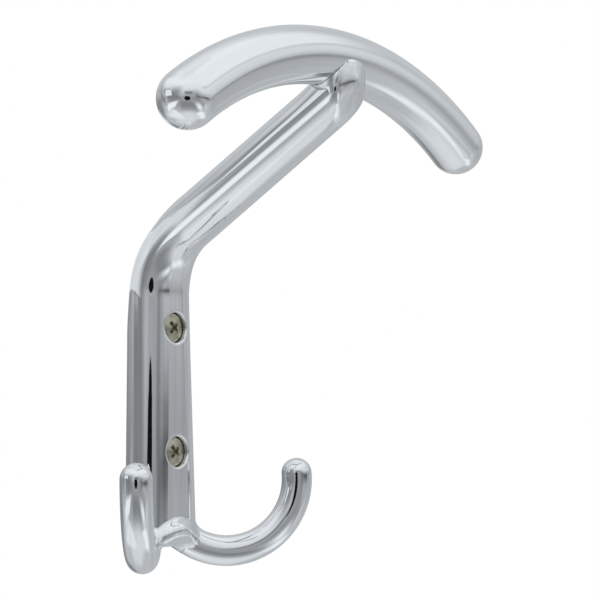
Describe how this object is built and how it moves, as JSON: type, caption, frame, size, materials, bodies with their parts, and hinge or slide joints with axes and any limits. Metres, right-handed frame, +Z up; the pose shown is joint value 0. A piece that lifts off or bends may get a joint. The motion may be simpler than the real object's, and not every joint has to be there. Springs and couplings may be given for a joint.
{
  "type": "coat hook",
  "caption": "Chromed wall coat hook: a flat screwed-on stem bends into a rising arm under a bowed hanger bar, with a J-shaped hook splayed to each side of its foot.",
  "frame": {"origin": "on the flat wall face of the stem, midway between the screw holes", "axes": "+Z up along the stem, +Y into the wall, X along the wall, so the hook stands out towards -Y"},
  "size_m": [0.1172, 0.0781, 0.1321],
  "materials": {
    "stem_chrome": "polished chrome plate",
    "bar_chrome": "polished chrome plate",
    "hook_chrome": "polished chrome plate",
    "screw_yellow_zinc": "yellow zinc plate, slightly dull",
    "stud_steel": "plain turned steel"
  },
  "bodies": {
    "root": {"stem_arm": "stem_chrome", "hanger_bar": "bar_chrome", "bar_stud": "stud_steel", "left_hook": "hook_chrome", "right_hook": "hook_chrome", "upper_screw": "screw_yellow_zinc", "lower_screw": "screw_yellow_zinc"}
  },
  "joints": []
}
